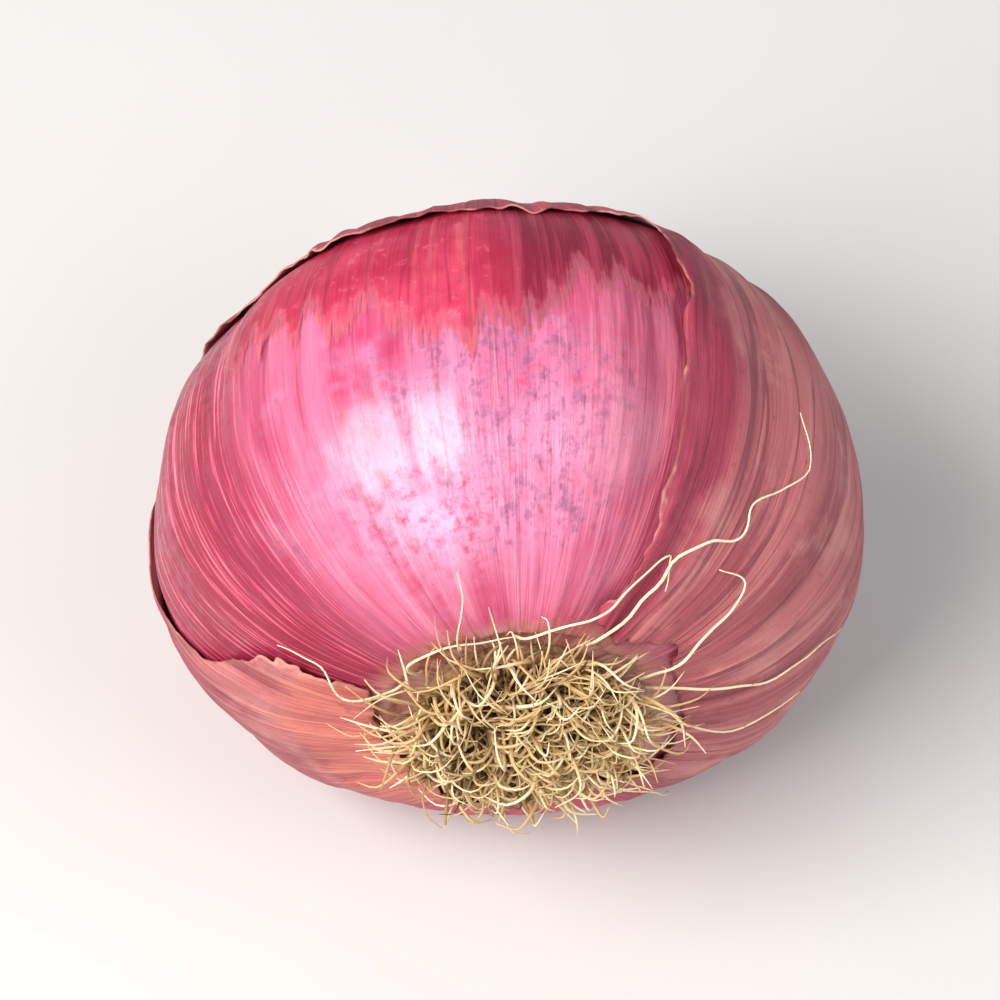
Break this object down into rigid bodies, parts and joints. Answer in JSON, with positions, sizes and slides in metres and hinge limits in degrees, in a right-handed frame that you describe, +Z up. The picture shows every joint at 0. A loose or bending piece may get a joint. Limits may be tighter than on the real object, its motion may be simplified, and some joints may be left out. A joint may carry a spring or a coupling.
{
  "type": "onion",
  "caption": "Dried red onion bulb lying on its side, with torn papery outer scale, withered neck and a tuft of dried roots.",
  "frame": {"origin": "on the surface that the onion lies on, under the middle of its bounding box", "axes": "+Z up, +Y along the bulb from its roots to its neck, which droops a little"},
  "size_m": [0.067, 0.0707, 0.0632],
  "materials": {
    "onion_skin": "dry papery onion scale, glossy magenta where the outer scale is torn away",
    "dried_roots": "dry straw-coloured roots"
  },
  "bodies": {
    "root": {"bulb": "onion_skin", "root_tuft": "dried_roots"}
  },
  "joints": []
}
